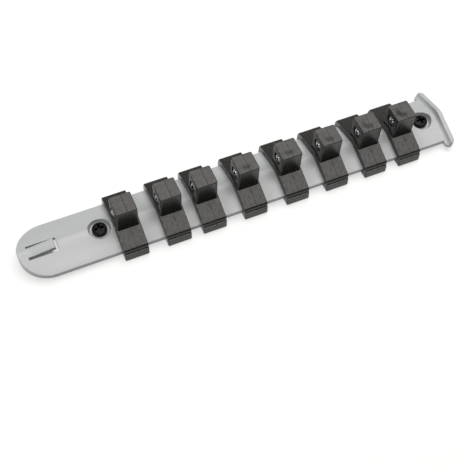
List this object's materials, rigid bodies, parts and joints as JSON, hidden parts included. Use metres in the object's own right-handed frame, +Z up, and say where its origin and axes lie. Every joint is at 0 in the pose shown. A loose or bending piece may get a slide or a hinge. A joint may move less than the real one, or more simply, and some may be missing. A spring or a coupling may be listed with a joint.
{
  "type": "socket rail",
  "caption": "Ridged storage rail with sliding clips; each clip has a square drive post with a sprung ball that holds a socket, and a spring stop keeps them on.",
  "frame": {"origin": "middle of the box's base: on the bench under the middle of the rail's length and width", "axes": "+X along the rail from its spring stop to its lipped head, +Y across it, +Z up from the bench"},
  "size_m": [0.268, 0.0424, 0.0286],
  "materials": {
    "rail_plastic": "smooth silver-grey moulded plastic, satin",
    "clip_plastic": "black glass-filled moulded plastic, fine grain",
    "ball_steel": "polished steel ball",
    "spring_steel": "drawn spring wire",
    "foot_rubber": "black rubber, matte",
    "screw_black": "black oxide steel, satin"
  },
  "bodies": {
    "rail_body": {"rail": "rail_plastic", "foot_left": "foot_rubber", "foot_right": "foot_rubber", "foot_screw_left": "screw_black", "foot_screw_right": "screw_black"},
    "stop": {"stop_tab": "rail_plastic"},
    "clip_body_1": {"clip_1": "clip_plastic", "clip_spring_1": "spring_steel"},
    "clip_body_2": {"clip_2": "clip_plastic", "clip_spring_2": "spring_steel"},
    "clip_body_3": {"clip_3": "clip_plastic", "clip_spring_3": "spring_steel"},
    "clip_body_4": {"clip_4": "clip_plastic", "clip_spring_4": "spring_steel"},
    "clip_body_5": {"clip_5": "clip_plastic", "clip_spring_5": "spring_steel"},
    "clip_body_6": {"clip_6": "clip_plastic", "clip_spring_6": "spring_steel"},
    "clip_body_7": {"clip_7": "clip_plastic", "clip_spring_7": "spring_steel"},
    "clip_body_8": {"clip_8": "clip_plastic", "clip_spring_8": "spring_steel"},
    "ball_body_1": {"clip_ball_1": "ball_steel"},
    "ball_body_2": {"clip_ball_2": "ball_steel"},
    "ball_body_3": {"clip_ball_3": "ball_steel"},
    "ball_body_4": {"clip_ball_4": "ball_steel"},
    "ball_body_5": {"clip_ball_5": "ball_steel"},
    "ball_body_6": {"clip_ball_6": "ball_steel"},
    "ball_body_7": {"clip_ball_7": "ball_steel"},
    "ball_body_8": {"clip_ball_8": "ball_steel"}
  },
  "joints": [
    {"name": "stop_press", "type": "hinge", "parent": "rail_body", "child": "stop", "pos_m": [-0.1286, 0, 0.009], "axis": [0, 1, 0], "range_deg": [0, 8], "stiffness_Nm_per_rad": 2},
    {"name": "clip_1_slide", "type": "slide", "parent": "rail_body", "child": "clip_body_1", "axis": [1, 0, 0], "range_m": [-0.0336, 0.0106]},
    {"name": "clip_2_slide", "type": "slide", "parent": "rail_body", "child": "clip_body_2", "axis": [1, 0, 0], "range_m": [-0.0106, 0.0066]},
    {"name": "clip_3_slide", "type": "slide", "parent": "rail_body", "child": "clip_body_3", "axis": [1, 0, 0], "range_m": [-0.0066, 0.0107]},
    {"name": "clip_4_slide", "type": "slide", "parent": "rail_body", "child": "clip_body_4", "axis": [1, 0, 0], "range_m": [-0.0107, 0.0118]},
    {"name": "clip_5_slide", "type": "slide", "parent": "rail_body", "child": "clip_body_5", "axis": [1, 0, 0], "range_m": [-0.0118, 0.0108]},
    {"name": "clip_6_slide", "type": "slide", "parent": "rail_body", "child": "clip_body_6", "axis": [1, 0, 0], "range_m": [-0.0108, 0.0108]},
    {"name": "clip_7_slide", "type": "slide", "parent": "rail_body", "child": "clip_body_7", "axis": [1, 0, 0], "range_m": [-0.0108, 0.008]},
    {"name": "clip_8_slide", "type": "slide", "parent": "rail_body", "child": "clip_body_8", "axis": [1, 0, 0], "range_m": [-0.008, 0.0181]},
    {"name": "ball_1_press", "type": "slide", "parent": "clip_body_1", "child": "ball_body_1", "axis": [1, 0, 0], "range_m": [0, 0.0008], "stiffness_N_per_m": 2000, "springref_m": -0.0015, "deforming": ["clip_spring_1"]},
    {"name": "ball_2_press", "type": "slide", "parent": "clip_body_2", "child": "ball_body_2", "axis": [1, 0, 0], "range_m": [0, 0.0008], "stiffness_N_per_m": 2000, "springref_m": -0.0015, "deforming": ["clip_spring_2"]},
    {"name": "ball_3_press", "type": "slide", "parent": "clip_body_3", "child": "ball_body_3", "axis": [1, 0, 0], "range_m": [0, 0.0008], "stiffness_N_per_m": 2000, "springref_m": -0.0015, "deforming": ["clip_spring_3"]},
    {"name": "ball_4_press", "type": "slide", "parent": "clip_body_4", "child": "ball_body_4", "axis": [1, 0, 0], "range_m": [0, 0.0008], "stiffness_N_per_m": 2000, "springref_m": -0.0015, "deforming": ["clip_spring_4"]},
    {"name": "ball_5_press", "type": "slide", "parent": "clip_body_5", "child": "ball_body_5", "axis": [1, 0, 0], "range_m": [0, 0.0008], "stiffness_N_per_m": 2000, "springref_m": -0.0015, "deforming": ["clip_spring_5"]},
    {"name": "ball_6_press", "type": "slide", "parent": "clip_body_6", "child": "ball_body_6", "axis": [1, 0, 0], "range_m": [0, 0.0008], "stiffness_N_per_m": 2000, "springref_m": -0.0015, "deforming": ["clip_spring_6"]},
    {"name": "ball_7_press", "type": "slide", "parent": "clip_body_7", "child": "ball_body_7", "axis": [1, 0, 0], "range_m": [0, 0.0008], "stiffness_N_per_m": 2000, "springref_m": -0.0015, "deforming": ["clip_spring_7"]},
    {"name": "ball_8_press", "type": "slide", "parent": "clip_body_8", "child": "ball_body_8", "axis": [1, 0, 0], "range_m": [0, 0.0008], "stiffness_N_per_m": 2000, "springref_m": -0.0015, "deforming": ["clip_spring_8"]}
  ]
}
